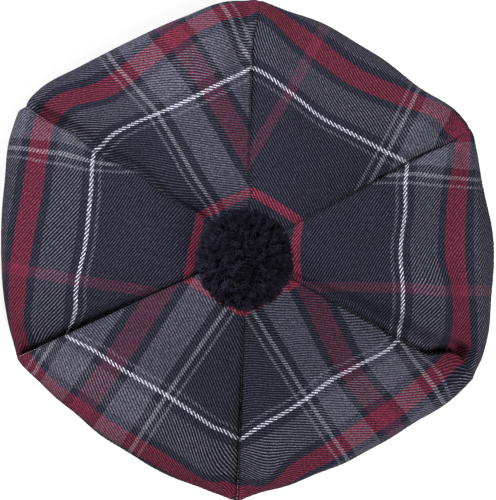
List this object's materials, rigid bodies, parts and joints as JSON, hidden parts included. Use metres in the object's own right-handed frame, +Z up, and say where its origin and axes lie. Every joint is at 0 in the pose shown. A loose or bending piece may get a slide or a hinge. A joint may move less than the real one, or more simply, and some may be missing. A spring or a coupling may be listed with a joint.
{
  "type": "tam o shanter cap",
  "caption": "Full, round tartan cloth cap of wedge gores that turn under to a headband, with a clipped wool pompom on its crown.",
  "frame": {"origin": "on the surface that the cap rests on, under the middle of its outline", "axes": "+Z up through the crown to the pompom, +Y to the top of the picture, +X to its right"},
  "size_m": [0.2866, 0.2901, 0.1307],
  "materials": {
    "tartan_cloth": "twilled wool cloth in navy, grey, dark red and white tartan",
    "headband_cloth": "the same twilled wool cloth, folded double and stitched",
    "pompom_wool": "black wool yarn, clipped"
  },
  "bodies": {
    "root": {"gore_top_left": "tartan_cloth", "gore_top_right": "tartan_cloth", "gore_right": "tartan_cloth", "gore_bottom_right": "tartan_cloth", "gore_bottom_left": "tartan_cloth", "gore_left": "tartan_cloth", "headband": "headband_cloth", "pompom": "pompom_wool"}
  },
  "joints": []
}
